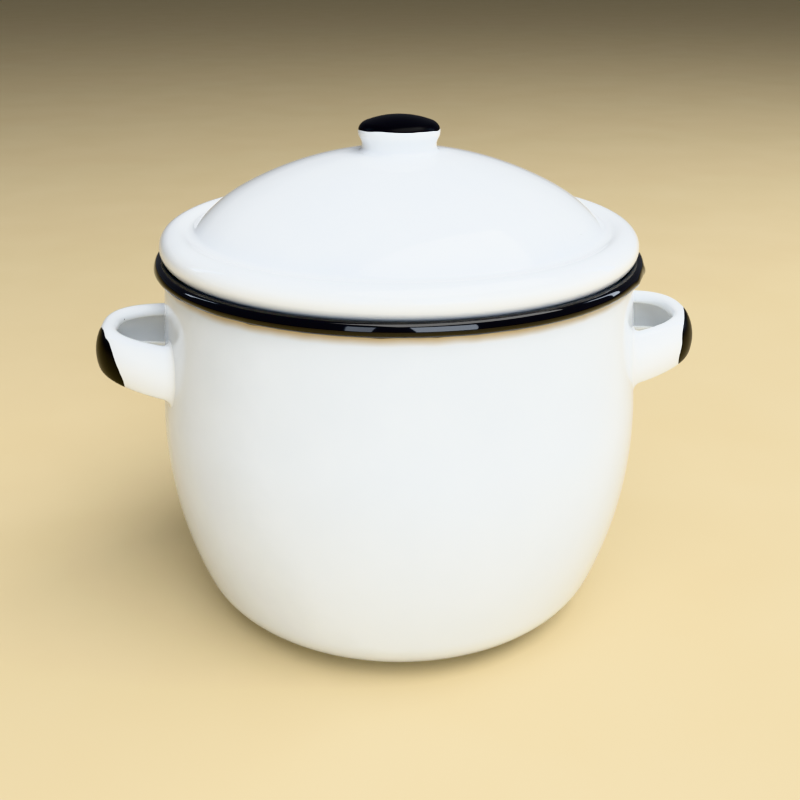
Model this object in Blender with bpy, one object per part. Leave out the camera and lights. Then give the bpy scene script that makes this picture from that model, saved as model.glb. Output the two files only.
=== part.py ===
"""An enamelled steel storage pot with a lift-off lid and two loop handles, at its real size in metres.

The pot stands on the plane Z = 0, with its axis on Z and its handles along X. Each piece is its own object,
and the pieces of the lid hang from an empty on the axis along which the lid lifts off.
"""

from math import acos, asin, atan2, cos, hypot, pi, radians, sin, sqrt, tan, tau

import bmesh
import bpy
from mathutils import Vector

# Sheet steel with its enamel, and the gaps that stand for welds and seats
SHEET = 0.0008
WELD_GAP = 0.0003
SEAT_GAP = 0.0003
HEM_GAP = 0.0005

# Rolled rim of the pot
RIM_RADIUS = 0.062
RIM_HEIGHT = 0.0948
BEAD_RADIUS = 0.00175

# Belly, bottom corner and foot
BELLY_SWELL = 0.00035
BELLY_HEIGHT = 0.052
BELLY_ARC = 0.110
CORNER_ARC = 0.019
FOOT_WIDTH = 0.006
FOOT_STEP = 0.0015
FOOT_RECESS = 0.0008

# Loop handles: the strap's run in plan, then its channel section and its black end
HANDLE_DROP = 0.0235
HANDLE_TILT = radians(9.8)
HANDLE_REACH = 0.0173
HANDLE_ROOT = 0.0185
HANDLE_WIDTH = 0.0458
HANDLE_SQUARENESS = 2.45
STRAP_HEIGHT = 0.0136
STRAP_TAPER = 0.0016
STRAP_CROWN = 0.0120
STRAP_CORNER = 0.0022
STRAP_LIP = 0.0021
LIP_END = radians(190)
HANDLE_DIP = 0.0040

# Lid: rolled edge, valley, shoulder and dome
LID_INSET = 0.0017
LID_ROLL = 0.0042
VALLEY_ARC = 0.0025
SHOULDER_ARC = 0.040
SHOULDER_RISE = 0.0120
BRIM_WIDTH = 0.0193
DOME_ARC = 0.085
VENT_RADIUS = 0.0015

# Collar under the lid, which finds the pot's mouth
COLLAR_PLAY = 0.0018
COLLAR_DEPTH = 0.0080
COLLAR_BEND = 0.0015
COLLAR_FLANGE = 0.0064

# Knob
KNOB_RADIUS = 0.0102
KNOB_RISE = 0.0041
KNOB_ARC = 0.0195
KNOB_SHOULDER = 0.0022
WAIST_INSET = 0.0009
WAIST_RISE = 0.0010

# Counts of facets, and the distance within which two points are one
TURNS = 54
KNOB_TURNS = 32
STRAP_STATIONS = 18
MERGE = 0.000005

# Enamel colours, as linear red, green, blue and alpha
WHITE = (0.80, 0.85, 0.90, 1.0)
BLACK = (0.004, 0.004, 0.005, 1.0)
ENAMEL_ROUGHNESS = 0.08
SHARP_ANGLE = radians(40)


# Profiles are lists of 2-D points, which are (radius, height) for turned pieces.
def on_circle(centre, radius, angle):
    return Vector((centre.x + radius * cos(angle), centre.y + radius * sin(angle)))


def arc(centre, radius, first, last, steps):
    return [on_circle(centre, radius, first + (last - first) * i / steps) for i in range(steps + 1)]


def joined(*runs):
    """One line through all the runs, where a run that starts on the end of the last one shares its point."""
    line = []
    for point in (p for run in runs for p in run):
        if not line or (point - line[-1]).length > MERGE:
            line.append(point)
    return line


def shifted(line, distance):
    """The line moved sideways to its left by a distance, with mitred corners."""
    normals = [Vector((a.y - b.y, b.x - a.x)).normalized() for a, b in zip(line, line[1:])]
    moved = []
    for i, point in enumerate(line):
        before = normals[max(i - 1, 0)]
        after = normals[min(i, len(normals) - 1)]
        mitre = (before + after).normalized()
        moved.append(point + mitre * distance / mitre.dot(after))
    return moved


def sheet(line, thickness):
    """Outline of a sheet that has the line as one skin and the other to its left, or right if negative."""
    return line + shifted(line, thickness)[::-1]


def touching(first_centre, first_reach, second_centre, second_reach):
    """The upper one of the two points that lie at these distances from two centres."""
    span = second_centre - first_centre
    along = (first_reach**2 - second_reach**2 + span.length_squared) / (2 * span.length)
    aside = sqrt(first_reach**2 - along**2)
    across = Vector((-span.y, span.x)).normalized()
    return first_centre + span.normalized() * along + across * aside


def angle_to(centre, point):
    return atan2(point.y - centre.y, point.x - centre.x)


# The sheet is rolled outward at the mouth. Its wall touches the hollow of that bead and the belly's arc.
BEAD_CENTRE = Vector((RIM_RADIUS - BEAD_RADIUS, RIM_HEIGHT))
BEAD_HOLLOW = BEAD_RADIUS - SHEET
BEAD_END = -acos((HEM_GAP - BEAD_HOLLOW) / BEAD_RADIUS)
MOUTH_RADIUS = RIM_RADIUS - 2 * BEAD_RADIUS
BELLY_CENTRE = Vector((RIM_RADIUS + BELLY_SWELL - BELLY_ARC, BELLY_HEIGHT))
TO_BEAD = BEAD_CENTRE - BELLY_CENTRE
WALL_TAPER = atan2(TO_BEAD.y, TO_BEAD.x) - acos((BELLY_ARC + BEAD_HOLLOW) / TO_BEAD.length)
WALL_FOOT = on_circle(BELLY_CENTRE, BELLY_ARC, WALL_TAPER)
WALL_TOP = on_circle(BEAD_CENTRE, BEAD_HOLLOW, pi + WALL_TAPER)

# The corner's arc touches the table and the belly's arc.
CORNER_TURN = asin((BELLY_HEIGHT - CORNER_ARC) / (BELLY_ARC - CORNER_ARC))
CORNER_CENTRE = Vector((BELLY_CENTRE.x + (BELLY_ARC - CORNER_ARC) * cos(CORNER_TURN), CORNER_ARC))

# Heights of the lid are from the bead's centre. Its rolled edge rests on the inner shoulder of the bead.
LID_RADIUS = RIM_RADIUS - LID_INSET
ROLL_RADIUS = LID_RADIUS - LID_ROLL
SEAT_REACH = LID_ROLL + BEAD_RADIUS + SEAT_GAP
ROLL_CENTRE = Vector((ROLL_RADIUS, sqrt(SEAT_REACH**2 - (BEAD_CENTRE.x - ROLL_RADIUS) ** 2)))
COLLAR_RADIUS = MOUTH_RADIUS - COLLAR_PLAY
ROLL_END = -acos((COLLAR_RADIUS + HEM_GAP - ROLL_RADIUS) / (LID_ROLL - SHEET))

# The dome is a cap that turns into a tighter shoulder, and the valley's arc touches shoulder and roll.
DOME_TURN = acos((LID_RADIUS - BRIM_WIDTH) / DOME_ARC)
DOME_CENTRE = Vector((0, ROLL_CENTRE.y + SHOULDER_RISE - DOME_ARC * sin(DOME_TURN)))
SHOULDER_CENTRE = on_circle(DOME_CENTRE, DOME_ARC - SHOULDER_ARC, DOME_TURN)
VALLEY_CENTRE = touching(SHOULDER_CENTRE, SHOULDER_ARC + VALLEY_ARC, ROLL_CENTRE, LID_ROLL + VALLEY_ARC)

# The knob's shoulder touches its cap and its waist, whose arc ends on the dome.
DOME_TOP = DOME_CENTRE.y + DOME_ARC
KNOB_CENTRE = Vector((KNOB_RADIUS - KNOB_SHOULDER, DOME_TOP + KNOB_RISE))
CAP_TURN = acos(KNOB_CENTRE.x / (KNOB_ARC - KNOB_SHOULDER))
CAP_CENTRE = Vector((0, KNOB_CENTRE.y - (KNOB_ARC - KNOB_SHOULDER) * sin(CAP_TURN)))
WAIST_RADIUS = KNOB_RADIUS - WAIST_INSET
WAIST_ARC = ((KNOB_RISE - WAIST_RISE) ** 2 + WAIST_INSET**2) / (2 * WAIST_INSET) - KNOB_SHOULDER
WAIST_CENTRE = Vector((WAIST_RADIUS + WAIST_ARC, DOME_TOP + WAIST_RISE))
KNOB_SEAT = DOME_ARC + WELD_GAP
KNOB_FOOT = touching(DOME_CENTRE, KNOB_SEAT, WAIST_CENTRE, WAIST_ARC)
KNOB_BORE = WAIST_RADIUS - SHEET


def wall_line():
    """Outer skin of the pot, from the centre of its bottom up to the bead."""
    flat = CORNER_CENTRE.x - FOOT_WIDTH
    foot = [Vector((0, FOOT_RECESS)), Vector((flat - FOOT_STEP, FOOT_RECESS)), Vector((flat, 0))]
    corner = arc(CORNER_CENTRE, CORNER_ARC, -pi / 2, -CORNER_TURN, 5)
    belly = arc(BELLY_CENTRE, BELLY_ARC, -CORNER_TURN, WALL_TAPER, 6)
    return joined(foot, corner, belly, [WALL_TOP])


def body_outline():
    """Bottom and wall in one sheet, whose edge is rolled outward into the bead."""
    bead = arc(BEAD_CENTRE, BEAD_HOLLOW, pi + WALL_TAPER, BEAD_END, 9)
    return sheet(joined(wall_line(), bead), SHEET)


def cutter_outline():
    """The pot as a solid plug, larger all round by the gap that stands for the handles' welds."""
    skin = shifted(wall_line(), -WELD_GAP)
    return [*skin, Vector((0, skin[-1].y))]


def lid_outline():
    """The lid in one sheet: dome, shoulder, valley and an edge rolled under, with a vent below the knob."""
    shoulder_end = angle_to(SHOULDER_CENTRE, VALLEY_CENTRE)
    roll_start = angle_to(ROLL_CENTRE, VALLEY_CENTRE)
    line = joined(
        arc(DOME_CENTRE, DOME_ARC, acos(VENT_RADIUS / DOME_ARC), DOME_TURN, 5),
        arc(SHOULDER_CENTRE, SHOULDER_ARC, DOME_TURN, shoulder_end, 3),
        arc(VALLEY_CENTRE, VALLEY_ARC, shoulder_end - pi, roll_start - pi, 3),
        arc(ROLL_CENTRE, LID_ROLL, roll_start, ROLL_END, 9),
    )
    return sheet(line, -SHEET)


def collar_outline():
    """A ring with a flange that is welded under the valley, and a skirt that hangs in the pot's mouth."""
    top = VALLEY_CENTRE.y - VALLEY_ARC - SHEET - WELD_GAP
    bend = Vector((COLLAR_RADIUS - COLLAR_BEND, top - COLLAR_BEND))
    line = joined(
        [Vector((COLLAR_RADIUS - COLLAR_FLANGE, top))],
        arc(bend, COLLAR_BEND, pi / 2, 0, 3),
        [Vector((COLLAR_RADIUS, -COLLAR_DEPTH))],
    )
    return sheet(line, -SHEET)


def knob_outline():
    """A pressed cap with a waist, open below, whose foot follows the dome that it is welded to."""
    shoulder_end = angle_to(KNOB_CENTRE, WAIST_CENTRE)
    hollow = KNOB_ARC - SHEET
    return joined(
        arc(CAP_CENTRE, KNOB_ARC, pi / 2, CAP_TURN, 4),
        arc(KNOB_CENTRE, KNOB_SHOULDER, CAP_TURN, shoulder_end, 5),
        arc(WAIST_CENTRE, WAIST_ARC, pi + shoulder_end, angle_to(WAIST_CENTRE, KNOB_FOOT) + tau, 3),
        arc(DOME_CENTRE, KNOB_SEAT, acos(KNOB_FOOT.x / KNOB_SEAT), acos(KNOB_BORE / KNOB_SEAT), 2),
        arc(CAP_CENTRE, hollow, acos(KNOB_BORE / hollow), pi / 2, 4),
    )


def on_bead(centre):
    """True on the rolled rim, which is black on both skins."""
    radius = hypot(centre.x, centre.y)
    return hypot(radius - BEAD_CENTRE.x, centre.z - BEAD_CENTRE.y) < BEAD_RADIUS


def on_cap(centre):
    """True on the outer skin of the knob, down to where it is widest."""
    radius = hypot(centre.x, centre.y)
    skin = hypot(radius, centre.z - CAP_CENTRE.y) > KNOB_ARC - SHEET / 2 or radius > KNOB_BORE + SHEET / 2
    return skin and centre.z > KNOB_CENTRE.y


def on_tip(centre):
    """True where the end of a handle was dipped in black, as measured from the wall outward."""
    return centre.x > HANDLE_REACH - HANDLE_DIP


def mesh_of(name, shape, coats, is_black):
    """The shape as a mesh with its faces pointing out, each in white or in black enamel."""
    bmesh.ops.remove_doubles(shape, verts=shape.verts, dist=MERGE)
    bmesh.ops.recalc_face_normals(shape, faces=shape.faces)
    for face in shape.faces:
        face.smooth = True
        face.material_index = int(is_black(face.calc_center_median()))
    mesh = bpy.data.meshes.new(name)
    shape.to_mesh(mesh)
    shape.free()
    mesh.set_sharp_from_angle(angle=SHARP_ANGLE)
    for coat in coats:
        mesh.materials.append(coat)
    return mesh


def add_object(name, data):
    obj = bpy.data.objects.new(name, data)
    bpy.context.scene.collection.objects.link(obj)
    return obj


def turned(name, outline, coats, turns=TURNS, is_black=lambda centre: False):
    """Spins an outline about Z. One with an end on the axis is left open there."""
    shape = bmesh.new()
    verts = [shape.verts.new((p.x, 0, p.y)) for p in outline]
    edges = [shape.edges.new(pair) for pair in zip(verts, verts[1:])]
    if outline[-1].x > MERGE:
        edges.append(shape.edges.new((verts[-1], verts[0])))
    bmesh.ops.spin(
        shape, geom=verts + edges, cent=(0, 0, 0), axis=(0, 0, 1), steps=turns, angle=tau, use_merge=True
    )
    return add_object(name, mesh_of(name, shape, coats, is_black))


def strap_section(height):
    """Channel section of the strap at one height: x is out of the loop from its crowned face, y is up."""
    half = height / 2
    turn = asin((half - STRAP_CORNER) / (STRAP_CROWN - STRAP_CORNER))
    crown_centre = Vector((-STRAP_CROWN, 0))
    corner_centre = on_circle(crown_centre, STRAP_CROWN - STRAP_CORNER, turn)
    lip = arc(Vector((corner_centre.x, half - STRAP_LIP)), STRAP_LIP, LIP_END, pi / 2, 3)
    upper = joined(
        lip, arc(corner_centre, STRAP_CORNER, pi / 2, turn, 3), arc(crown_centre, STRAP_CROWN, turn, 0, 2)
    )
    lower = [Vector((p.x, -p.y)) for p in reversed(upper)]
    return sheet(joined(upper, lower), -SHEET)


def strap_run():
    """Points along the strap in plan, from inside the wall round the tip and back, with the way out at each."""
    depth = HANDLE_REACH + HANDLE_ROOT
    power = 2 / HANDLE_SQUARENESS
    points = []
    for i in range(STRAP_STATIONS + 1):
        turn = pi * (i / STRAP_STATIONS - 0.5)
        out = max(cos(turn), 0) ** power
        side = abs(sin(turn)) ** power * (1 if turn > 0 else -1)
        points.append(Vector((depth * out - HANDLE_ROOT, HANDLE_WIDTH / 2 * side)))
    run = []
    for i, point in enumerate(points):
        ahead = points[min(i + 1, STRAP_STATIONS)] - points[max(i - 1, 0)]
        run.append((point, Vector((ahead.y, -ahead.x)).normalized()))
    return run


def strap_mesh(coats):
    """The strap bent into a loop, in the frame of the spot on the wall that it is welded to."""
    shape = bmesh.new()
    rings = []
    for point, out in strap_run():
        section = strap_section(STRAP_HEIGHT - STRAP_TAPER * max(point.x, 0) / HANDLE_REACH)
        rings.append([shape.verts.new((point.x + out.x * p.x, point.y + out.y * p.x, p.y)) for p in section])
    for first, second in zip(rings, rings[1:]):
        for i, vert in enumerate(first):
            shape.faces.new((first[i - 1], vert, second[i], second[i - 1]))
    shape.faces.new(rings[0])
    shape.faces.new(rings[-1])
    return mesh_of("strap", shape, coats, on_tip)


def add_handle(name, mesh, heading, cutter):
    """Welds a strap loop to the wall, tilted up, with its ends cut to the wall's shape."""
    obj = add_object(name, mesh)
    height = RIM_HEIGHT - HANDLE_DROP
    wall = WALL_FOOT.x - (height - WALL_FOOT.y) * tan(WALL_TAPER)
    obj.location = (wall * cos(heading), wall * sin(heading), height)
    obj.rotation_euler = (0, -HANDLE_TILT, heading)
    cut = obj.modifiers.new("wall", "BOOLEAN")
    cut.operation = "DIFFERENCE"
    cut.solver = "EXACT"
    cut.object = cutter


def enamel(name, colour):
    """Vitreous enamel: glass fired onto the steel, so it is smooth and not metallic to the eye."""
    material = bpy.data.materials.new(name)
    material.use_nodes = True
    material.diffuse_color = colour
    shader = material.node_tree.nodes["Principled BSDF"]
    shader.inputs["Base Color"].default_value = colour
    shader.inputs["Roughness"].default_value = ENAMEL_ROUGHNESS
    shader.inputs["Metallic"].default_value = 0.0
    return material


def build():
    for obj in list(bpy.data.objects):
        bpy.data.objects.remove(obj)
    coats = [enamel("white_enamel", WHITE), enamel("black_enamel", BLACK)]

    turned("pot_body", body_outline(), coats, is_black=on_bead)
    cutter = turned("wall_cutter", cutter_outline(), coats)
    cutter.hide_render = True
    cutter.display_type = "WIRE"
    strap = strap_mesh(coats)
    add_handle("right_handle", strap, 0, cutter)
    add_handle("left_handle", strap, pi, cutter)

    lid_lift = add_object("lid_lift", None)
    lid_lift.location = (0, 0, RIM_HEIGHT)
    for piece in (
        turned("lid_shell", lid_outline(), coats),
        turned("lid_collar", collar_outline(), coats),
        turned("knob", knob_outline(), coats, KNOB_TURNS, on_cap),
    ):
        piece.parent = lid_lift


build()
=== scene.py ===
from math import acos, asin, atan2, ceil, cos, exp, hypot, pi, radians, sin, sqrt, tan, tau

import bmesh
import bpy
from mathutils import Matrix, Vector, noise


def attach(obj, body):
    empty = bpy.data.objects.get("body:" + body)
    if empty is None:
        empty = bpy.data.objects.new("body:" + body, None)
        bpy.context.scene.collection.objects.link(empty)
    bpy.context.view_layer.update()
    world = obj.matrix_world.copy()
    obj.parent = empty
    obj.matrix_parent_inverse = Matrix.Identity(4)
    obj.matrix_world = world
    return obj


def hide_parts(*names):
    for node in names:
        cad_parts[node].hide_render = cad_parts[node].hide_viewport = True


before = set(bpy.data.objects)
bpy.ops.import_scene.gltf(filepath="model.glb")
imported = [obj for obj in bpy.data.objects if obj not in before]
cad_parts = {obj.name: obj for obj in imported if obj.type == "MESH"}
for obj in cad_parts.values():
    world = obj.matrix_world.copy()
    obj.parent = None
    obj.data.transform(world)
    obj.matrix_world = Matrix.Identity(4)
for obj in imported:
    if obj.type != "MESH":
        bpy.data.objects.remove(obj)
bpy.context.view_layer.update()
MM = 0.001


# Pot body
# One disc of low-carbon steel, deep drawn to a belly and a slightly narrower neck, with its cut edge rolled
# outward into a hollow bead. It is fired with white enamel inside and out, then its rim is dipped in black.
SHEET = 0.8 * MM
RIM_RADIUS = 62 * MM
RIM_HEIGHT = 94.8 * MM
BEAD_RADIUS = 1.75 * MM
BEAD_GAP = 0.5 * MM
BELLY_REACH = 62.35 * MM
BELLY_HEIGHT = 52 * MM
BELLY_ARC = 110 * MM
CORNER_ARC = 19 * MM
FOOT_WIDTH = 6 * MM
FOOT_STEP = 1.5 * MM
FOOT_RECESS = 0.8 * MM
FOOT_STEPS = 10
POT_STEPS = 224
FINEST_TURN = radians(9)
LONGEST_STEP = 1.5 * MM
SAME_SPOT = 0.002 * MM
WANDER = 0.12 * MM
WANDER_LENGTH = 34 * MM
WANDER_SEED = 5
FOOT_FADE = 8 * MM
DRIPS = ((radians(-18.5), radians(1.3), 0.5 * MM), (radians(-29), radians(1.8), 0.22 * MM))
COAT_SWELL = 0.07 * MM
COAT_LENGTH = 9 * MM
BEAD_FACE = radians(20)
BEAD_FACE_HALF = radians(30)
BEAD_FLATTENING = 0.6


def on_circle(centre, radius, angle):
    return Vector((centre.x + radius * cos(angle), centre.y + radius * sin(angle)))


def arc(centre, radius, first, last, steps=0):
    """Points along an arc, close enough together to look smooth and to carry the slow unevenness."""
    turn = abs(last - first)
    steps = steps or max(2, ceil(turn / FINEST_TURN), ceil(turn * radius / LONGEST_STEP))
    return [on_circle(centre, radius, first + (last - first) * i / steps) for i in range(steps + 1)]


def straight(first, last):
    steps = max(1, ceil((last - first).length / LONGEST_STEP))
    return [first.lerp(last, i / steps) for i in range(steps + 1)]


def joined(*runs):
    line = []
    for point in (p for run in runs for p in run):
        if not line or (point - line[-1]).length > SAME_SPOT:
            line.append(point)
    return line


def shifted(line, distance):
    """The line moved sideways to its left by a distance, with mitred corners."""
    normals = [Vector((a.y - b.y, b.x - a.x)).normalized() for a, b in zip(line, line[1:])]
    moved = []
    for i, point in enumerate(line):
        before = normals[max(i - 1, 0)]
        after = normals[min(i, len(normals) - 1)]
        mitre = (before + after).normalized()
        moved.append(point + mitre * distance / mitre.dot(after))
    return moved


def end_round(first, last, bulge):
    """A half circle from one skin to the other round the cut edge of a sheet, bulging along a direction."""
    centre = (first + last) / 2
    across = first - centre
    steps = ceil(pi / FINEST_TURN / 2)
    return [
        centre + across * cos(pi * i / steps) + bulge.normalized() * across.length * sin(pi * i / steps)
        for i in range(1, steps)
    ]


def sheet(line, thickness, round_start=True):
    """Outline of a sheet with the line as one skin and rounded cut edges, as enamel pools round an edge."""
    other = shifted(line, thickness)[::-1]
    outline = line + end_round(line[-1], other[0], line[-1] - line[-2]) + other
    if round_start:
        outline += end_round(other[-1], line[0], line[0] - line[1])
    return outline


noise.seed_set(WANDER_SEED)


def uneven(point):
    """Pressing and firing leave the sheet a tenth of a millimetre out of true, in slow waves."""
    lift = min(max(point.z, 0) / FOOT_FADE, 1)
    return point + noise.noise_vector(point / WANDER_LENGTH) * WANDER * lift


def piece_of(name, points, faces, coat):
    """A smooth closed mesh with its faces pointing out."""
    shape = bmesh.new()
    verts = [shape.verts.new(point) for point in points]
    for face in faces:
        shape.faces.new([verts[i] for i in face])
    bmesh.ops.remove_doubles(shape, verts=shape.verts, dist=SAME_SPOT)
    bmesh.ops.recalc_face_normals(shape, faces=shape.faces)
    mesh = bpy.data.meshes.new(name)
    shape.to_mesh(mesh)
    shape.free()
    mesh.shade_smooth()
    mesh.materials.append(coat)
    piece = bpy.data.objects.new(name, mesh)
    bpy.context.scene.collection.objects.link(piece)
    return piece


def turned(name, outline, steps, coat, move=uneven):
    """Spins an outline about Z, and leaves it open on the axis where its ends lie there."""
    points = []
    for turn in range(steps):
        heading = tau * turn / steps
        points += [move(Vector((p.x * cos(heading), p.x * sin(heading), p.y))) for p in outline]
    count = len(outline)
    lines = range(count if outline[0].x > SAME_SPOT else count - 1)
    faces = []
    for turn in range(steps):
        here = turn * count
        ahead = (turn + 1) % steps * count
        for i in lines:
            j = (i + 1) % count
            corners = [here + i, ahead + i, ahead + j, here + j]
            if outline[i].x < SAME_SPOT:
                corners.pop(0)
            elif outline[j].x < SAME_SPOT:
                corners.pop(2)
            faces.append(corners)
    return piece_of(name, points, faces, coat)


def tone(code, alpha=1.0):
    """An sRGB hex colour in linear light."""
    shares = [int(code[i : i + 2], 16) / 255 for i in (1, 3, 5)]
    linear = [c / 12.92 if c <= 0.04045 else ((c + 0.055) / 1.055) ** 2.4 for c in shares]
    return (*linear, alpha)


def node(tree, kind, settings=None, **inputs):
    """Adds a node. Inputs are values or outputs, by socket name or, as i0, i1 and so on, by number."""
    made = tree.nodes.new("ShaderNode" + kind)
    for name, value in (settings or {}).items():
        setattr(made, name, value)
    for name, value in inputs.items():
        numbered = name[0] == "i" and name[1:].isdigit()
        socket = made.inputs[int(name[1:]) if numbered else name.replace("_", " ")]
        if isinstance(value, bpy.types.NodeSocket):
            tree.links.new(value, socket)
        else:
            socket.default_value = value
    return made.outputs


# Vitreous enamel: powdered glass fired onto the steel at some 820 degrees. It is opaque, hard and very
# glossy, with a faint orange peel, slow waves from the pull of the melt, and a stray speck of scale.
# The dipped black is a second coat over the white, so it stands proud and its border wanders.
# The pot's wall has a greyer copy of the white, painted shade for the lower light on the wall. Each white is
# mottled with a thinner tone.
# The lengths are those of the real coat, but the peel is drawn coarser than the real 1 mm, so that it shows.
ENAMEL_IOR = 1.47
FULL_SHINE = 0.5
# The first white is the wall's: the lid's white made greyer, as painted shade.
WALL_WHITE_PAINTED_SHADE = ("#E4EAF1", "#D8DFE7")
FULL_WHITE = ("#F3F6F8", "#E8ECF0")
WHITE_ROUGHNESS = (0.06, 0.11)
SPECK = "#2A2724"
BLACK_MAIN = "#08080A"
BLACK_THIN = "#141315"
BLACK_ROUGHNESS = 0.05
HANDLED_ROUGHNESS = 0.3
HANDLED_SHINE = 0.1
# Painted shade: a warm tan band just below the rim's black, for the shade under the bead lit by the warm
# floor.
UNDER_RIM_SHADE_COLOUR = "#BFA05E"
UNDER_RIM_SHADE_SHARE = 0.8
MICRON = 0.001 * MM
MOTTLE_LENGTH = 16 * MM
MOTTLE_RANGE = (0.3, 0.7)
WAVE_LENGTH = 12 * MM
WAVE_MICRONS = 26.0
PEEL_LENGTH = 2.2 * MM
PEEL_MICRONS = 1.6
SPECK_SPACING = 4 * MM
SPECK_RADIUS = 0.24 * MM
SPECK_SHARE = 0.035
BORDER_LENGTH = 6 * MM
BORDER_RANGE = (0.25, 0.75)
BORDER_SHARPNESS = 0.07 * MM
COAT_SHOULDER = 0.45 * MM
COAT_MICRONS = 28.0


def fired_enamel(name, whites, dip=None, depth=0.0, wander=0.0, painted_shade_width=0.0, handled=False):
    """White enamel, and black beyond a depth along the direction in which the piece was dipped.
    Below its border, a warm tan painted shade may stand in for the shade under a bead, and hands may have
    dulled the black."""
    coat = bpy.data.materials.new(name)
    coat.use_nodes = True
    tree = coat.node_tree
    shader = tree.nodes["Principled BSDF"]
    shader.inputs["IOR"].default_value = ENAMEL_IOR
    place = node(tree, "TexCoord")["Object"]

    mottle = node(tree, "TexNoise", Vector=place, Scale=1 / MOTTLE_LENGTH, Detail=3.0, Roughness=0.6)
    white = node(tree, "Mix", {"data_type": "RGBA"}, i0=mottle[0], i6=tone(whites[0]), i7=tone(whites[1]))[2]
    grain = node(tree, "TexVoronoi", Vector=place, Scale=1 / SPECK_SPACING)
    chosen = node(tree, "SeparateColor", Color=grain["Color"])[0]
    chosen = node(tree, "Math", {"operation": "LESS_THAN"}, i0=chosen, i1=SPECK_SHARE)[0]
    near = node(
        tree, "MapRange", {"interpolation_type": "SMOOTHSTEP"}, i0=grain["Distance"],
        i1=SPECK_RADIUS / SPECK_SPACING, i2=SPECK_RADIUS / SPECK_SPACING / 2, i3=0.0, i4=1.0,
    )[0]
    speck = node(tree, "Math", {"operation": "MULTIPLY"}, i0=near, i1=chosen)[0]
    colour = node(tree, "Mix", {"data_type": "RGBA"}, i0=speck, i6=white, i7=tone(SPECK))[2]

    wave = node(tree, "TexNoise", Vector=place, Scale=1 / WAVE_LENGTH, Detail=1.0)[0]
    peel = node(tree, "TexNoise", Vector=place, Scale=1 / PEEL_LENGTH, Detail=2.0)[0]
    rough = node(
        tree, "MapRange", i0=mottle[0],
        i1=MOTTLE_RANGE[0], i2=MOTTLE_RANGE[1], i3=WHITE_ROUGHNESS[0], i4=WHITE_ROUGHNESS[1],
    )[0]
    height = node(tree, "Math", {"operation": "MULTIPLY"}, i0=wave, i1=WAVE_MICRONS)[0]
    height = node(tree, "Math", {"operation": "MULTIPLY_ADD"}, i0=peel, i1=PEEL_MICRONS, i2=height)[0]

    if dip:
        reach = node(tree, "VectorMath", {"operation": "DOT_PRODUCT"}, i0=place, i1=dip)["Value"]
        border = node(tree, "TexNoise", Vector=place, Scale=1 / BORDER_LENGTH, Detail=2.0, Roughness=0.3)[0]
        border = node(
            tree, "MapRange", i0=border, i1=BORDER_RANGE[0], i2=BORDER_RANGE[1], i3=-wander, i4=wander
        )[0]
        beyond = node(tree, "Math", {"operation": "SUBTRACT"}, i0=reach, i1=depth)[0]
        beyond = node(tree, "Math", {"operation": "ADD"}, i0=beyond, i1=border)[0]
        dipped = node(
            tree, "MapRange", {"interpolation_type": "SMOOTHSTEP"}, i0=beyond,
            i1=-BORDER_SHARPNESS, i2=BORDER_SHARPNESS, i3=0.0, i4=1.0,
        )[0]
        # Painted shade: a warm tan band over a short way below the black's border, for the shade under the
        # bead.
        if painted_shade_width:
            under_rim_shade = node(
                tree, "MapRange", {"interpolation_type": "SMOOTHSTEP"}, i0=beyond,
                i1=-painted_shade_width, i2=0.0, i3=0.0, i4=UNDER_RIM_SHADE_SHARE,
            )[0]
            colour = node(tree, "Mix", {"data_type": "RGBA"}, i0=under_rim_shade, i6=colour, i7=tone(UNDER_RIM_SHADE_COLOUR))[2]
        blacks = tone(BLACK_MAIN), tone(BLACK_THIN)
        black = node(tree, "Mix", {"data_type": "RGBA"}, i0=mottle[0], i6=blacks[0], i7=blacks[1])[2]
        colour = node(tree, "Mix", {"data_type": "RGBA"}, i0=dipped, i6=colour, i7=black)[2]
        black_rough = HANDLED_ROUGHNESS if handled else BLACK_ROUGHNESS
        rough = node(tree, "Mix", {"data_type": "FLOAT"}, i0=dipped, i2=rough, i3=black_rough)[0]
        if handled:
            shine = node(tree, "MapRange", i0=dipped, i3=FULL_SHINE, i4=HANDLED_SHINE)[0]
            tree.links.new(shine, shader.inputs["Specular IOR Level"])
        step = node(
            tree, "MapRange", {"interpolation_type": "SMOOTHSTEP"}, i0=beyond,
            i1=-BORDER_SHARPNESS, i2=COAT_SHOULDER, i3=0.0, i4=COAT_MICRONS,
        )[0]
        height = node(tree, "Math", {"operation": "ADD"}, i0=height, i1=step)[0]

    bump = node(tree, "Bump", Height=height, Distance=MICRON, Strength=1.0)[0]
    tree.links.new(colour, shader.inputs["Base Color"])
    tree.links.new(rough, shader.inputs["Roughness"])
    tree.links.new(bump, shader.inputs["Normal"])
    return coat


BEAD_CENTRE = Vector((RIM_RADIUS - BEAD_RADIUS, RIM_HEIGHT))
BEAD_HOLLOW = BEAD_RADIUS - SHEET
BEAD_END = -acos((BEAD_GAP - BEAD_HOLLOW) / BEAD_RADIUS)
BELLY_CENTRE = Vector((BELLY_REACH - BELLY_ARC, BELLY_HEIGHT))
TO_BEAD = BEAD_CENTRE - BELLY_CENTRE
WALL_TAPER = atan2(TO_BEAD.y, TO_BEAD.x) - acos((BELLY_ARC + BEAD_HOLLOW) / TO_BEAD.length)
WALL_FOOT = on_circle(BELLY_CENTRE, BELLY_ARC, WALL_TAPER)
WALL_TOP = on_circle(BEAD_CENTRE, BEAD_HOLLOW, pi + WALL_TAPER)
CORNER_TURN = asin((BELLY_HEIGHT - CORNER_ARC) / (BELLY_ARC - CORNER_ARC))
CORNER_CENTRE = Vector((BELLY_CENTRE.x + (BELLY_ARC - CORNER_ARC) * cos(CORNER_TURN), CORNER_ARC))
RIM_DIP = 2.2 * MM
RIM_WANDER = 0.17 * MM
# Width of the painted shade below the rim's black.
UNDER_RIM_SHADE_WIDTH = 2.3 * MM


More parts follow.
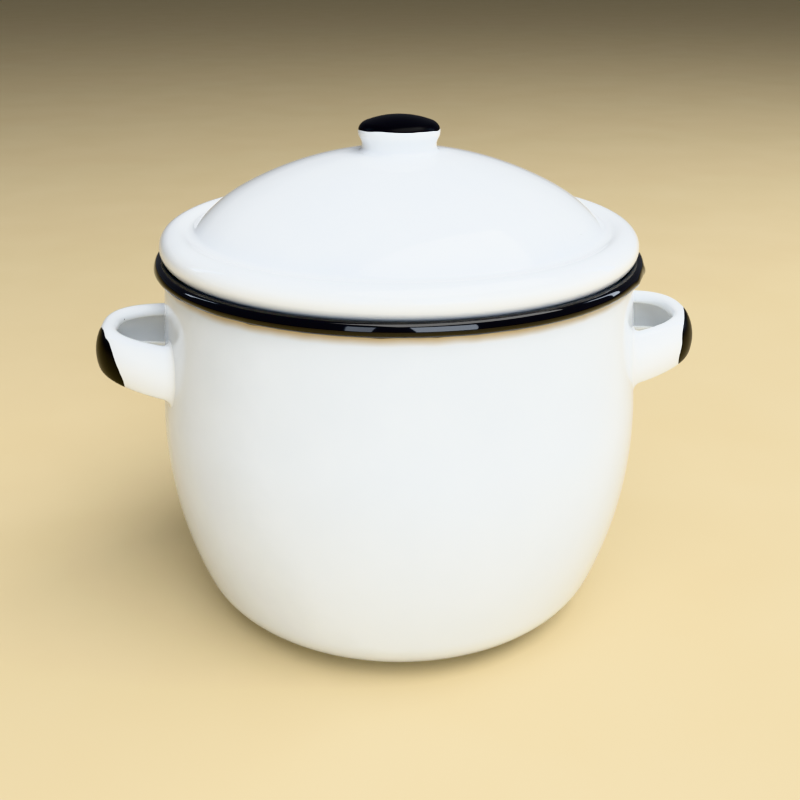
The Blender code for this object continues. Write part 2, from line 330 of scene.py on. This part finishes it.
def foot_line():
    """The recessed middle of the bottom, which an embossed step brings down to the ring it stands on."""
    edge = CORNER_CENTRE.x - FOOT_WIDTH
    slope = []
    for i in range(FOOT_STEPS + 1):
        share = i / FOOT_STEPS
        slope.append(Vector((edge - FOOT_STEP * (1 - share), FOOT_RECESS * (1 + cos(pi * share)) / 2)))
    middle = straight(Vector((0, FOOT_RECESS)), slope[0])
    return joined(middle, slope, straight(slope[-1], Vector((CORNER_CENTRE.x, 0))))


def rim_uneven(point):
    """The pot's own unevenness, with the swell of the black coat on the bead and two runs of it that set."""
    moved = uneven(point)
    radius = hypot(point.x, point.y)
    from_bead = Vector((radius - BEAD_CENTRE.x, point.z - BEAD_CENTRE.y))
    if from_bead.length < BEAD_RADIUS - SHEET / 2 or from_bead.length > BEAD_RADIUS + SHEET / 2:
        return moved
    heading = atan2(point.y, point.x)
    away = from_bead.normalized()
    swell = COAT_SWELL * noise.noise(point / COAT_LENGTH)
    below = max(away.x - away.y, 0) / sqrt(2)
    # The rolling tool leaves the bead's front a little flatter than a circle.
    faced = max(away.dot(Vector((cos(BEAD_FACE), sin(BEAD_FACE)))) - cos(BEAD_FACE_HALF), 0)
    swell -= faced * BEAD_RADIUS * BEAD_FLATTENING
    runs = sum(height * exp(-(((heading - at) / width) ** 2)) for at, width, height in DRIPS)
    out = away * (swell + runs * below)
    return moved + Vector((out.x * cos(heading), out.x * sin(heading), out.y))


pot_line = joined(
    foot_line(),
    arc(CORNER_CENTRE, CORNER_ARC, -pi / 2, -CORNER_TURN),
    arc(BELLY_CENTRE, BELLY_ARC, -CORNER_TURN, WALL_TAPER),
    straight(WALL_FOOT, WALL_TOP),
    arc(BEAD_CENTRE, BEAD_HOLLOW, pi + WALL_TAPER, BEAD_END),
)
rim_border = RIM_HEIGHT - RIM_DIP
# Painted shade here: the wall's greyer white, and the warm tan band just below the black rim.
pot_coat_with_painted_shade = fired_enamel("white_enamel_black_rim_painted_shade", WALL_WHITE_PAINTED_SHADE, (0, 0, 1), rim_border, RIM_WANDER, UNDER_RIM_SHADE_WIDTH)
pot = turned("drawn_pot", sheet(pot_line, SHEET, False), POT_STEPS, pot_coat_with_painted_shade, rim_uneven)
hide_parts("pot_body")
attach(pot, "pot")


# Strap handles
# Each is a strip of sheet steel pressed to a shallow channel with its long edges curled in, bent to a loop
# and butt-welded to the wall before firing, so the enamel runs into a small fillet there. Its end is dipped
# in black, which hands have dulled.
HANDLE_DROP = 23.5 * MM
HANDLE_TILT = radians(9.8)
HANDLE_REACH = 17.3 * MM
HANDLE_ROOT = 18.5 * MM
HANDLE_WIDTH = 45.8 * MM
HANDLE_SQUARENESS = 2.45
STRAP_HEIGHT = 13.6 * MM
STRAP_TAPER = 1.6 * MM
STRAP_CROWN = 12 * MM
STRAP_CORNER = 2.2 * MM
STRAP_LIP = 2.1 * MM
LIP_END = radians(190)
WELD_FILLET = 1.8 * MM
WELD_SINK = 0.012 * MM
WELD_DEPTH = 0.4 * MM
RUN_SAMPLES = 600
RUN_STEPS = 84
FILLET_STEPS = 8
FACE_STEPS = 8
END_WANDER = 0.45 * MM


def wall_radius(height):
    """Radius of the pot's outer skin, from the belly's arc or the straight neck above it."""
    if height > WALL_FOOT.y:
        return WALL_FOOT.x - (height - WALL_FOOT.y) * tan(WALL_TAPER)
    return BELLY_CENTRE.x + sqrt(BELLY_ARC**2 - (height - BELLY_HEIGHT) ** 2)


def strap_run():
    """The strap in plan, from inside the wall round the tip and back: points, and the way out at each."""
    depth = HANDLE_REACH + HANDLE_ROOT
    power = 2 / HANDLE_SQUARENESS
    points = []
    for i in range(RUN_SAMPLES + 1):
        turn = pi * (i / RUN_SAMPLES - 0.5)
        side = abs(sin(turn)) ** power * (1 if turn > 0 else -1)
        points.append(Vector((depth * max(cos(turn), 0) ** power - HANDLE_ROOT, HANDLE_WIDTH / 2 * side)))
    run = []
    for i, point in enumerate(points):
        ahead = points[min(i + 1, RUN_SAMPLES)] - points[max(i - 1, 0)]
        run.append((point, Vector((ahead.y, -ahead.x)).normalized()))
    return run


def strap_section(height):
    """Channel section at one height, as points with the way out of the metal at each."""
    half = height / 2
    turn = asin((half - STRAP_CORNER) / (STRAP_CROWN - STRAP_CORNER))
    crown = Vector((-STRAP_CROWN, 0))
    corner = on_circle(crown, STRAP_CROWN - STRAP_CORNER, turn)
    lip = arc(Vector((corner.x, half - STRAP_LIP)), STRAP_LIP, LIP_END, pi / 2)
    edge = arc(corner, STRAP_CORNER, pi / 2, turn, FACE_STEPS)
    upper = joined(lip, edge, arc(crown, STRAP_CROWN, turn, 0, FACE_STEPS))
    lower = [Vector((p.x, -p.y)) for p in reversed(upper)]
    outline = sheet(joined(upper, lower), -SHEET)
    count = len(outline)
    ways = []
    for i in range(count):
        along = outline[(i + 1) % count] - outline[i - 1]
        ways.append(Vector((-along.y, along.x)).normalized())
    return list(zip(outline, ways))


def crossing(gaps, level):
    """Place along a line, counted in its points, where its gap to the wall first rises past a level."""
    k = next(i for i, gap in enumerate(gaps) if gap > level)
    return k - (gaps[k] - level) / (gaps[k] - gaps[k - 1])


def strap_handle(name, node_name, heading, dip, depth):
    """A handle on the side of the heading, black beyond a depth along its dip, both in its own axes."""
    middle = RIM_HEIGHT - HANDLE_DROP
    wall = wall_radius(middle)
    where = Matrix.Translation((wall * cos(heading), wall * sin(heading), middle))
    where = where @ Matrix.Rotation(heading, 4, "Z") @ Matrix.Rotation(-HANDLE_TILT, 4, "Y")
    run = strap_run()
    sections = [strap_section(STRAP_HEIGHT - STRAP_TAPER * max(p.x, 0) / HANDLE_REACH) for p, out in run]
    # How far out of the wall each ring of the weld lies, and how far its fillet stands off the strap.
    turns = [pi / 2 * i / FILLET_STEPS for i in range(FILLET_STEPS + 1)]
    weld = [(-WELD_DEPTH, WELD_FILLET)]
    weld += [(WELD_FILLET * (1 - cos(a)) - WELD_SINK, WELD_FILLET * (1 - sin(a))) for a in turns]
    rings = [[] for i in range(2 * len(weld) + RUN_STEPS - 1)]
    for i in range(len(sections[0])):
        line = []
        for (point, out), section in zip(run, sections):
            spot, way = section[i]
            line.append((
                Vector((point.x + out.x * spot.x, point.y + out.y * spot.x, spot.y)),
                Vector((out.x * way.x, out.y * way.x, way.y)),
            ))
        clear = []
        for spot, way in line:
            seen = where @ spot
            clear.append(hypot(seen.x, seen.y) - wall_radius(seen.z))
        starts = [(crossing(clear, gap), gap, stand) for gap, stand in weld]
        ends = [(len(line) - 1 - crossing(clear[::-1], gap), gap, stand) for gap, stand in reversed(weld)]
        free = (ends[0][0] - starts[-1][0]) / RUN_STEPS
        loop = [(starts[-1][0] + free * i, 0, 0) for i in range(1, RUN_STEPS)]
        for ring, (at, gap, stand) in zip(rings, starts + loop + ends, strict=True):
            k = int(at)
            spot = line[k][0].lerp(line[k + 1][0], at - k)
            way = line[k][1].lerp(line[k + 1][1], at - k).normalized()
            seen = where @ (spot + way * stand)
            if stand:
                # The wall curves away from the strap, so the fillet is brought back to its gap from the wall.
                share = (wall_radius(seen.z) + gap) / hypot(seen.x, seen.y)
                seen = Vector((seen.x * share, seen.y * share, seen.z))
            ring.append(uneven(seen))
    count = len(rings[0])
    points = [spot for ring in rings for spot in ring]
    faces = [list(range(count)), list(range((len(rings) - 1) * count, len(rings) * count))]
    for station in range(len(rings) - 1):
        here, ahead = station * count, (station + 1) * count
        for i in range(count):
            j = (i + 1) % count
            faces.append([here + i, here + j, ahead + j, ahead + i])
    dip_here = where.to_3x3() @ dip
    depth_here = depth + dip_here.dot(where.translation)
    coat_name = "white_enamel_black_end_" + node_name
    coat = fired_enamel(coat_name, FULL_WHITE, dip_here, depth_here, END_WANDER, handled=True)
    handle = piece_of(name, points, faces, coat)
    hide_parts(node_name)
    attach(handle, "pot")


# Each end was dipped at its own slant, towards the tip, one side and down, as a hand holds the pot.
RIGHT_DIP = Vector((0.935, -0.292, -0.199))
RIGHT_DEPTH = 14.35 * MM
LEFT_DIP = Vector((0.884, 0.308, -0.351))
LEFT_DEPTH = 14.05 * MM
strap_handle("right_strap_handle", "right_handle", 0, RIGHT_DIP, RIGHT_DEPTH)
strap_handle("left_strap_handle", "left_handle", pi, LEFT_DIP, LEFT_DEPTH)


# Lid
# One disc of the same steel, pressed to a dome, a shoulder and a valley, with its edge rolled under so that
# it sits on the rim. White inside and out. A vent below the knob lets the air out in the furnace.
LID_INSET = 1.7 * MM
LID_ROLL = 4.2 * MM
SEAT_GAP = 0.3 * MM
VALLEY_ARC = 2.5 * MM
SHOULDER_ARC = 40 * MM
SHOULDER_RISE = 12 * MM
BRIM_WIDTH = 19.3 * MM
DOME_ARC = 85 * MM
VENT_RADIUS = 1.5 * MM
COLLAR_PLAY = 1.8 * MM
LID_STEPS = 224

LID_RADIUS = RIM_RADIUS - LID_INSET
ROLL_RADIUS = LID_RADIUS - LID_ROLL
MOUTH_RADIUS = RIM_RADIUS - 2 * BEAD_RADIUS
COLLAR_RADIUS = MOUTH_RADIUS - COLLAR_PLAY
SEAT_REACH = LID_ROLL + BEAD_RADIUS + SEAT_GAP
ROLL_CENTRE = Vector((ROLL_RADIUS, RIM_HEIGHT + sqrt(SEAT_REACH**2 - (BEAD_CENTRE.x - ROLL_RADIUS) ** 2)))
ROLL_END = -acos((COLLAR_RADIUS + BEAD_GAP - ROLL_RADIUS) / (LID_ROLL - SHEET))
DOME_TURN = acos((LID_RADIUS - BRIM_WIDTH) / DOME_ARC)
DOME_CENTRE = Vector((0, ROLL_CENTRE.y + SHOULDER_RISE - DOME_ARC * sin(DOME_TURN)))
SHOULDER_CENTRE = on_circle(DOME_CENTRE, DOME_ARC - SHOULDER_ARC, DOME_TURN)


def touching(first_centre, first_reach, second_centre, second_reach):
    """The upper one of the two points that lie at these distances from two centres."""
    span = second_centre - first_centre
    along = (first_reach**2 - second_reach**2 + span.length_squared) / (2 * span.length)
    across = Vector((-span.y, span.x)).normalized()
    return first_centre + span.normalized() * along + across * sqrt(first_reach**2 - along**2)


def angle_to(centre, point):
    return atan2(point.y - centre.y, point.x - centre.x)


VALLEY_CENTRE = touching(SHOULDER_CENTRE, SHOULDER_ARC + VALLEY_ARC, ROLL_CENTRE, LID_ROLL + VALLEY_ARC)
shoulder_end = angle_to(SHOULDER_CENTRE, VALLEY_CENTRE)
roll_start = angle_to(ROLL_CENTRE, VALLEY_CENTRE)
lid_line = joined(
    arc(DOME_CENTRE, DOME_ARC, acos(VENT_RADIUS / DOME_ARC), DOME_TURN),
    arc(SHOULDER_CENTRE, SHOULDER_ARC, DOME_TURN, shoulder_end),
    arc(VALLEY_CENTRE, VALLEY_ARC, shoulder_end - pi, roll_start - pi),
    arc(ROLL_CENTRE, LID_ROLL, roll_start, ROLL_END),
)
lid_coat = fired_enamel("white_enamel", FULL_WHITE)
lid = turned("pressed_lid", sheet(lid_line, -SHEET), LID_STEPS, lid_coat)
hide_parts("lid_shell")
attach(lid, "lid")


# Collar
# A ring of sheet steel under the lid. Its flange is spot-welded beneath the valley, and its skirt hangs
# in the pot's mouth and keeps the lid central. Enamelled white with the lid.
COLLAR_DEPTH = 8 * MM
COLLAR_BEND = 1.5 * MM
COLLAR_FLANGE = 6.4 * MM
WELD_GAP = 0.3 * MM
COLLAR_STEPS = 180

collar_top = VALLEY_CENTRE.y - VALLEY_ARC - SHEET - WELD_GAP
bend_centre = Vector((COLLAR_RADIUS - COLLAR_BEND, collar_top - COLLAR_BEND))
collar_line = joined(
    straight(Vector((COLLAR_RADIUS - COLLAR_FLANGE, collar_top)), bend_centre + Vector((0, COLLAR_BEND))),
    arc(bend_centre, COLLAR_BEND, pi / 2, 0),
    straight(bend_centre + Vector((COLLAR_BEND, 0)), Vector((COLLAR_RADIUS, RIM_HEIGHT - COLLAR_DEPTH))),
)
collar = turned("locating_collar", sheet(collar_line, -SHEET), COLLAR_STEPS, lid_coat)
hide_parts("lid_collar")
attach(collar, "lid")


# Knob
# A pressed hollow cap with a short waist, welded over the vent before firing, so that the white runs into a
# soft fillet on the dome. Its top is dipped in black down to the shoulder, and dulled like the handles' ends.
KNOB_RADIUS = 10.2 * MM
KNOB_RISE = 4.1 * MM
KNOB_ARC = 24 * MM
KNOB_SHOULDER = 2.6 * MM
WAIST_INSET = 0.9 * MM
WAIST_RISE = 1.0 * MM
KNOB_FILLET = 1.3 * MM
KNOB_SINK = 0.03 * MM
KNOB_STEPS = 120
KNOB_BORDER = 0.62 * MM
KNOB_DIP_SLANT = radians(1.5)
KNOB_WANDER = 0.22 * MM

DOME_TOP = DOME_CENTRE.y + DOME_ARC
KNOB_CENTRE = Vector((KNOB_RADIUS - KNOB_SHOULDER, DOME_TOP + KNOB_RISE))
CAP_TURN = acos(KNOB_CENTRE.x / (KNOB_ARC - KNOB_SHOULDER))
CAP_CENTRE = Vector((0, KNOB_CENTRE.y - (KNOB_ARC - KNOB_SHOULDER) * sin(CAP_TURN)))
WAIST_RADIUS = KNOB_RADIUS - WAIST_INSET
WAIST_ARC = ((KNOB_RISE - WAIST_RISE) ** 2 + WAIST_INSET**2) / (2 * WAIST_INSET) - KNOB_SHOULDER
WAIST_CENTRE = Vector((WAIST_RADIUS + WAIST_ARC, DOME_TOP + WAIST_RISE))
KNOB_SEAT = DOME_ARC - KNOB_SINK
FILLET_CENTRE = touching(DOME_CENTRE, KNOB_SEAT + KNOB_FILLET, WAIST_CENTRE, WAIST_ARC - KNOB_FILLET)
KNOB_BORE = WAIST_RADIUS - SHEET

knob_end = angle_to(KNOB_CENTRE, WAIST_CENTRE)
waist_end = angle_to(WAIST_CENTRE, FILLET_CENTRE) + tau
fillet_end = angle_to(FILLET_CENTRE, DOME_CENTRE) + tau
knob_foot = on_circle(FILLET_CENTRE, KNOB_FILLET, fillet_end)
hollow = KNOB_ARC - SHEET
knob_line = joined(
    arc(CAP_CENTRE, KNOB_ARC, pi / 2, CAP_TURN),
    arc(KNOB_CENTRE, KNOB_SHOULDER, CAP_TURN, knob_end),
    arc(WAIST_CENTRE, WAIST_ARC, pi + knob_end, waist_end),
    arc(FILLET_CENTRE, KNOB_FILLET, waist_end, fillet_end),
    arc(DOME_CENTRE, KNOB_SEAT, acos(knob_foot.x / KNOB_SEAT), acos(KNOB_BORE / KNOB_SEAT)),
    arc(CAP_CENTRE, hollow, acos(KNOB_BORE / hollow), pi / 2),
)
knob_dip = Vector((0, sin(KNOB_DIP_SLANT), cos(KNOB_DIP_SLANT)))
knob_depth = (KNOB_CENTRE.y + KNOB_BORDER) * cos(KNOB_DIP_SLANT)
knob_coat = fired_enamel(
    "white_enamel_black_top", FULL_WHITE, knob_dip, knob_depth, KNOB_WANDER, handled=True
)
knob = turned("knob_cap", knob_line, KNOB_STEPS, knob_coat)
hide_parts("knob")
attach(knob, "lid")


# Studio
# A plain pale floor with a slight warmth and soft daylight: two boxes in front, a wide one above and to the
# right, and a thin strip on each side for the glints on the black rim. Little light comes from elsewhere, so
# that black stays black.
FLOOR_HALF = 12.0
FLOOR_COLOUR = "#DFCCA2"
FLOOR_SHADE = "#D8C396"
FLOOR_LENGTH = 60 * MM
FLOOR_ROUGHNESS = 0.7
SURROUND = "#F4F7FF"
SURROUND_STRENGTH = 0.22
SKY = "#E4EFFF"
LAMP = "#FFFEFB"
# Each box has its width, height and distance, its angle to the right of the front and up, and its watts.
BOXES = (
    ("right_front_box", SKY, 0.6, 0.62, 1.3, radians(15), radians(19), 8.1),
    ("left_front_box", SKY, 0.26, 0.62, 1.3, radians(-22.5), radians(19), 2.0),
    ("top_box", LAMP, 1.7, 0.95, 1.2, radians(38), radians(66), 23.2),
    ("right_strip", SKY, 0.12, 0.5, 0.9, radians(104), radians(22), 1.2),
    ("left_strip", SKY, 0.08, 0.4, 0.9, radians(-112), radians(28), 0.6),
)

floor_mesh = bpy.data.meshes.new("floor")
corners = [(x * FLOOR_HALF, y * FLOOR_HALF, 0) for x, y in ((-1, -1), (1, -1), (1, 1), (-1, 1))]
floor_mesh.from_pydata(corners, [], [(0, 1, 2, 3)])
floor = bpy.data.objects.new("floor", floor_mesh)
bpy.context.scene.collection.objects.link(floor)
# Board rolled with matt paint: no shine, and a faint cloudiness from the roller.
matt = bpy.data.materials.new("matt_painted_board")
matt.use_nodes = True
tree = matt.node_tree
cloud = node(tree, "TexNoise", Vector=node(tree, "TexCoord")["Object"], Scale=1 / FLOOR_LENGTH, Detail=3.0)[0]
paint = node(tree, "Mix", {"data_type": "RGBA"}, i0=cloud, i6=tone(FLOOR_COLOUR), i7=tone(FLOOR_SHADE))[2]
tree.links.new(paint, tree.nodes["Principled BSDF"].inputs["Base Color"])
tree.nodes["Principled BSDF"].inputs["Roughness"].default_value = FLOOR_ROUGHNESS
floor_mesh.materials.append(matt)

studio = bpy.data.worlds.new("studio")
studio.use_nodes = True
studio.node_tree.nodes["Background"].inputs["Color"].default_value = tone(SURROUND)
studio.node_tree.nodes["Background"].inputs["Strength"].default_value = SURROUND_STRENGTH
bpy.context.scene.world = studio
bpy.context.scene.view_settings.view_transform = "Khronos PBR Neutral"

for name, colour, width, height, distance, aside, above, power in BOXES:
    light = bpy.data.lights.new(name, "AREA")
    light.shape = "RECTANGLE"
    light.size = width
    light.size_y = height
    light.energy = power
    light.color = tone(colour)[:3]
    box = bpy.data.objects.new(name, light)
    way = Vector((sin(aside) * cos(above), -cos(aside) * cos(above), sin(above)))
    box.location = way * distance + Vector((0, 0, RIM_HEIGHT / 2))
    box.rotation_euler = way.to_track_quat("Z", "Y").to_euler()
    bpy.context.scene.collection.objects.link(box)


# Camera
# It looks from the photograph's angle, from close by, a little left of the front and down on the lid.
CAMERA_HEADING = radians(5.5)
CAMERA_DISTANCE = 279 * MM
CAMERA_HEIGHT = 169.1 * MM
CAMERA_PITCH = radians(22.38)
CAMERA_SHIFT = 0.00125

lens = bpy.data.cameras.new("camera")
lens.lens = 50
lens.sensor_width = 36
lens.shift_x = CAMERA_SHIFT
lens.clip_start = 10 * MM
camera = bpy.data.objects.new("camera", lens)
camera_way = Vector((-sin(CAMERA_HEADING), -cos(CAMERA_HEADING), 0))
camera.location = camera_way * CAMERA_DISTANCE + Vector((0, 0, CAMERA_HEIGHT))
camera.rotation_euler = (pi / 2 - CAMERA_PITCH, 0, -CAMERA_HEADING)
bpy.context.scene.collection.objects.link(camera)
bpy.context.scene.camera = camera
